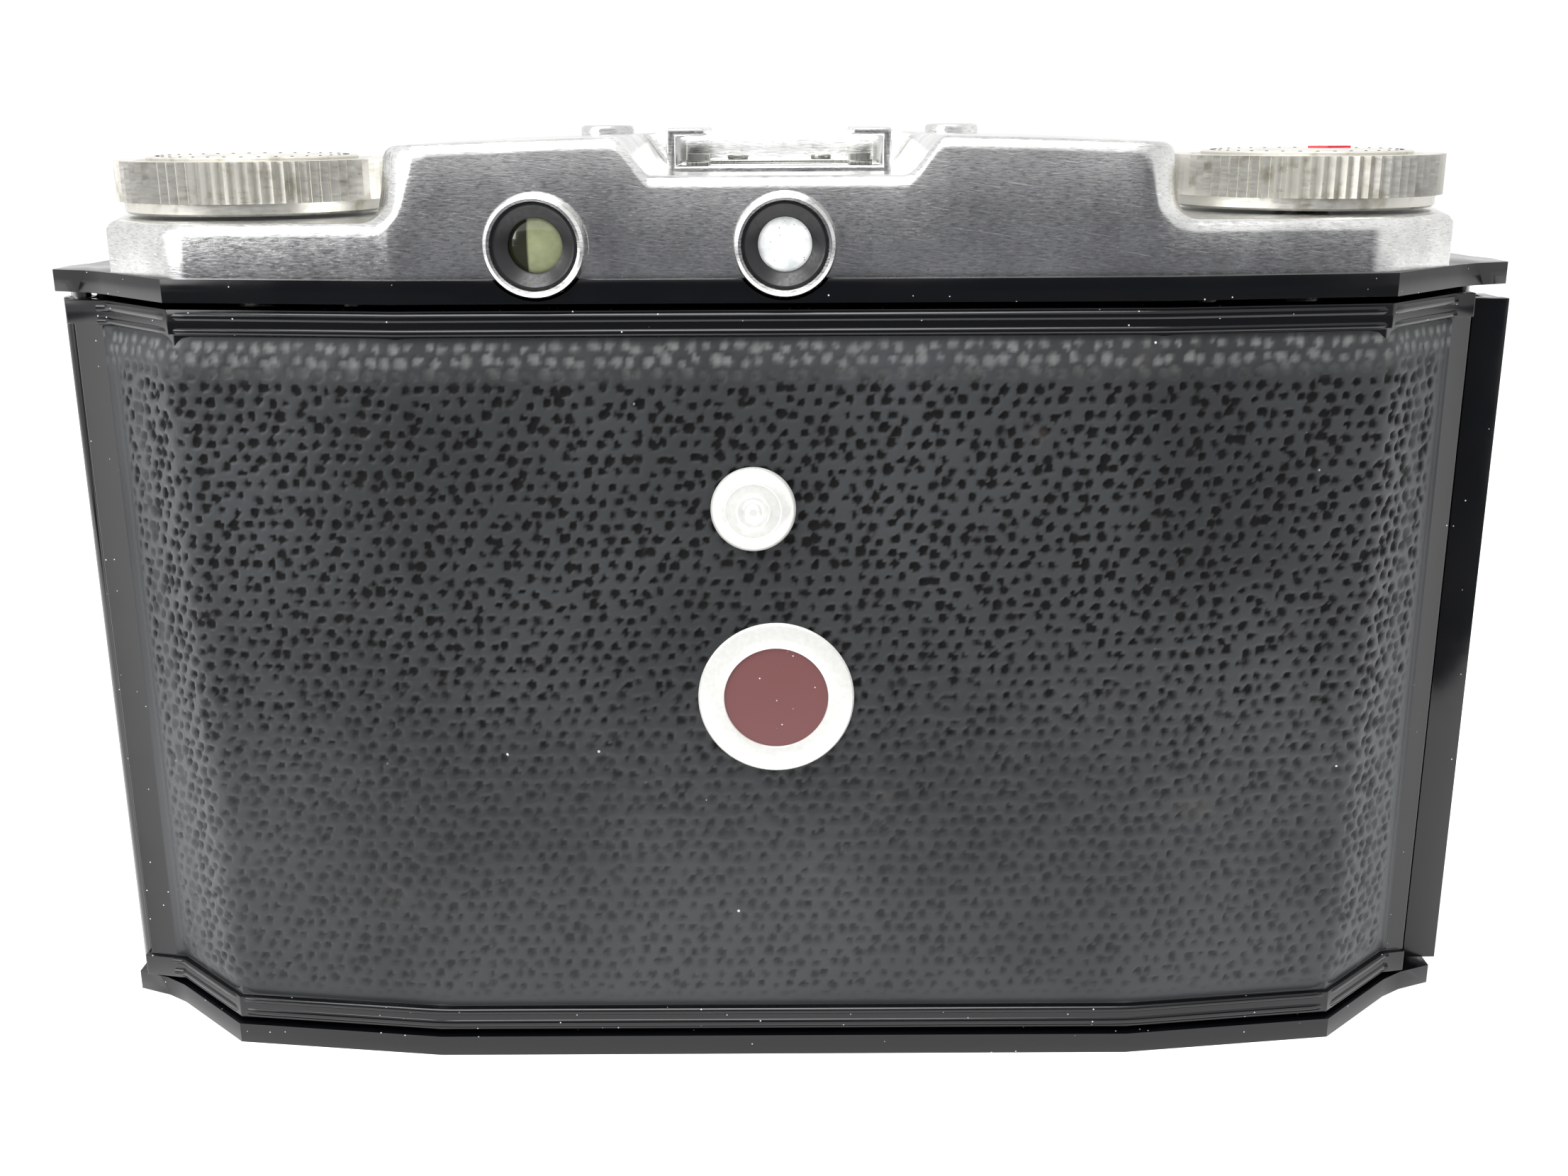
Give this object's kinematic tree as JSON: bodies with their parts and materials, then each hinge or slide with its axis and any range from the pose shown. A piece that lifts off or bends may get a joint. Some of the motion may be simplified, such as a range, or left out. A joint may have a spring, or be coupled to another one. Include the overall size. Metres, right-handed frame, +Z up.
{
  "type": "folding roll-film camera",
  "caption": "Folding roll-film camera, shut, with hinged back and lens bed, bellows, eyepieces, accessory shoe and knurled top wheels.",
  "frame": {"origin": "mouth of the tripod bush, in the middle of the base", "axes": "+Z up, +Y towards the back door, -Y towards the lens, +X along the length towards the door's hinge"},
  "size_m": [0.1348, 0.0428, 0.0864],
  "materials": {
    "black_enamel": "gloss",
    "chrome": "satin",
    "aluminium": "turned",
    "steel": "plain",
    "leather": "pebbled",
    "glass": "polished",
    "tinted_glass": "polished",
    "red_glass": "polished",
    "black_anodised": "matt",
    "mirror": "polished",
    "brass": "plain",
    "moulded_black": "moulded",
    "bellows_cloth": "matt"
  },
  "bodies": {
    "camera_body": {"body_casting": "black_enamel", "top_cover": "chrome", "accessory_shoe": "chrome", "shoe_spring": "steel", "shoe_rivets": "steel", "viewfinder_ring": "chrome", "rangefinder_ring": "chrome", "eyepiece_bezels": "black_anodised", "viewfinder_eyepiece": "glass", "rangefinder_eyepiece": "tinted_glass", "front_windows": "glass", "beam_splitter": "tinted_glass", "tripod_bush": "steel", "cover_screws": "steel", "front_leather": "leather", "supply_shaft": "steel", "back_hinge_pin": "steel", "latch_pin": "steel", "front_hinge_pin": "steel", "strut_pivots": "steel", "bellows": "bellows_cloth"},
    "mirror": {"rangefinder_mirror": "mirror"},
    "ranging_wheel": {"rangefinder_wheel": "aluminium"},
    "release": {"release_button": "chrome"},
    "door_release": {"door_button": "chrome"},
    "roller_left": {"roller_left": "aluminium"},
    "roller_right": {"roller_right": "aluminium"},
    "advance": {"advance_wheel": "aluminium", "advance_disc": "aluminium", "advance_shaft": "steel"},
    "take_up": {"take_up_spool": "moulded_black"},
    "supply": {"supply_spool": "moulded_black"},
    "pin_left": {"spool_pin_left": "steel"},
    "pin_right": {"spool_pin_right": "steel"},
    "reminder": {"reminder_wheel": "aluminium", "reminder_disc": "aluminium"},
    "back": {"back_door": "black_enamel", "back_leather": "leather", "red_window_ring": "aluminium", "red_window_glass": "red_glass", "plate_springs": "brass"},
    "blind": {"window_knob": "aluminium", "window_blind": "black_anodised"},
    "plate": {"pressure_plate": "black_enamel"},
    "latch": {"latch_strip": "black_enamel"},
    "bed": {"front_door": "black_enamel", "front_door_leather": "leather"},
    "strut_ul": {"strut_upper_left": "steel"},
    "strut_ur": {"strut_upper_right": "steel"},
    "strut_ll": {"strut_lower_left": "steel"},
    "strut_lr": {"strut_lower_right": "steel"},
    "standard": {"lens_standard": "black_enamel", "shutter_housing": "chrome", "rear_cell": "black_anodised", "shutter_blades": "steel"},
    "speed": {"speed_ring": "black_anodised"},
    "focus": {"focus_ring": "black_anodised", "front_glass": "glass"},
    "cocking": {"cocking_lever": "chrome"},
    "aperture": {"aperture_lever": "chrome"}
  },
  "joints": [
    {"name": "back_door_hinge", "type": "hinge", "parent": "camera_body", "child": "back", "pos_m": [0.0652, 0.006, 0.037], "axis": [0, 0, -1], "range_deg": [0, 160]},
    {"name": "latch_hinge", "type": "hinge", "parent": "camera_body", "child": "latch", "pos_m": [-0.0652, 0.0022, 0.037], "axis": [0, 0, 1], "range_deg": [0, 25], "stiffness_Nm_per_rad": 0.05},
    {"name": "window_blind_turn", "type": "hinge", "parent": "back", "child": "blind", "pos_m": [0.0024, 0.018, 0.0541], "axis": [0, 1, 0], "range_deg": [0, 60]},
    {"name": "pressure_plate_float", "type": "slide", "parent": "back", "child": "plate", "axis": [0, 1, 0], "range_m": [0, 0.001], "stiffness_N_per_m": 600, "deforming": ["plate_springs"]},
    {"name": "front_door_hinge", "type": "hinge", "parent": "camera_body", "child": "bed", "pos_m": [0, -0.0172, 0.0049], "axis": [1, 0, 0], "range_deg": [0, 90]},
    {"name": "standard_slide", "type": "slide", "parent": "camera_body", "child": "standard", "axis": [0, -1, 0], "range_m": [0, 0.046], "deforming": ["bellows"]},
    {"name": "strut_upper_left_turn", "type": "hinge", "parent": "camera_body", "child": "strut_ul", "pos_m": [0.032, 0.0017, 0.066], "axis": [-1, 0, 0], "range_deg": [0, 58.5]},
    {"name": "strut_upper_right_turn", "type": "hinge", "parent": "camera_body", "child": "strut_ur", "pos_m": [-0.032, 0.0017, 0.066], "axis": [-1, 0, 0], "range_deg": [0, 58.5]},
    {"name": "strut_lower_left_turn", "type": "hinge", "parent": "camera_body", "child": "strut_ll", "pos_m": [0.032, 0.0017, 0.008], "axis": [1, 0, 0], "range_deg": [0, 58.5]},
    {"name": "strut_lower_right_turn", "type": "hinge", "parent": "camera_body", "child": "strut_lr", "pos_m": [-0.032, 0.0017, 0.008], "axis": [1, 0, 0], "range_deg": [0, 58.5]},
    {"name": "focus_turn", "type": "hinge", "parent": "standard", "child": "focus", "pos_m": [0, -0.011, 0.037], "axis": [0, -1, 0], "range_deg": [0, 270]},
    {"name": "speed_ring_turn", "type": "hinge", "parent": "standard", "child": "speed", "pos_m": [0, -0.0085, 0.037], "axis": [0, -1, 0], "range_deg": [0, 220]},
    {"name": "cocking_lever_turn", "type": "hinge", "parent": "standard", "child": "cocking", "pos_m": [0, -0.005, 0.037], "axis": [0, -1, 0], "range_deg": [0, 40], "stiffness_Nm_per_rad": 0.01},
    {"name": "aperture_lever_turn", "type": "hinge", "parent": "standard", "child": "aperture", "pos_m": [0, -0.002, 0.037], "axis": [0, -1, 0], "range_deg": [0, 60]},
    {"name": "advance_turn", "type": "hinge", "parent": "camera_body", "child": "advance", "pos_m": [-0.0495, 0.001, 0.08], "axis": [0, 0, -1], "continuous": true},
    {"name": "take_up_turn", "type": "hinge", "parent": "camera_body", "child": "take_up", "pos_m": [-0.0495, 0.001, 0.037], "axis": [0, 0, -1], "continuous": true},
    {"name": "supply_turn", "type": "hinge", "parent": "camera_body", "child": "supply", "pos_m": [0.0495, 0.001, 0.037], "axis": [0, 0, 1], "continuous": true},
    {"name": "reminder_turn", "type": "hinge", "parent": "camera_body", "child": "reminder", "pos_m": [0.0495, 0.001, 0.08], "axis": [0, 0, 1], "continuous": true},
    {"name": "roller_left_turn", "type": "hinge", "parent": "camera_body", "child": "roller_left", "pos_m": [0.0385, 0.0115, 0.037], "axis": [0, 0, 1], "continuous": true},
    {"name": "roller_right_turn", "type": "hinge", "parent": "camera_body", "child": "roller_right", "pos_m": [-0.0385, 0.0115, 0.037], "axis": [0, 0, 1], "continuous": true},
    {"name": "ranging_wheel_turn", "type": "hinge", "parent": "camera_body", "child": "ranging_wheel", "pos_m": [-0.0264, -0.0094, 0.08], "axis": [0, 0, 1], "range_deg": [0, 270]},
    {"name": "mirror_turn", "type": "hinge", "parent": "camera_body", "child": "mirror", "pos_m": [-0.022, 0.005, 0.076], "axis": [0, 0, 1], "range_deg": [0, 3]},
    {"name": "release_press", "type": "slide", "parent": "camera_body", "child": "release", "axis": [0, 0, -1], "range_m": [0, 0.0015], "stiffness_N_per_m": 300},
    {"name": "door_release_press", "type": "slide", "parent": "camera_body", "child": "door_release", "axis": [0, 0, -1], "range_m": [0, 0.0015], "stiffness_N_per_m": 300},
    {"name": "spool_pin_left_press", "type": "slide", "parent": "camera_body", "child": "pin_left", "axis": [0, 0, -1], "range_m": [0, 0.0016], "stiffness_N_per_m": 400},
    {"name": "spool_pin_right_press", "type": "slide", "parent": "camera_body", "child": "pin_right", "axis": [0, 0, -1], "range_m": [0, 0.0016], "stiffness_N_per_m": 400}
  ],
  "couplings": [
    {"joint": "standard_slide", "follows": "front_door_hinge", "m_per_rad": 0.02928},
    {"joint": "take_up_turn", "follows": "advance_turn", "ratio": 1},
    {"joint": "mirror_turn", "follows": "ranging_wheel_turn", "ratio": 0.011},
    {"joint": "strut_upper_left_turn", "follows": "front_door_hinge", "ratio": 0.649},
    {"joint": "strut_upper_right_turn", "follows": "front_door_hinge", "ratio": 0.649},
    {"joint": "strut_lower_left_turn", "follows": "front_door_hinge", "ratio": 0.649},
    {"joint": "strut_lower_right_turn", "follows": "front_door_hinge", "ratio": 0.649}
  ]
}
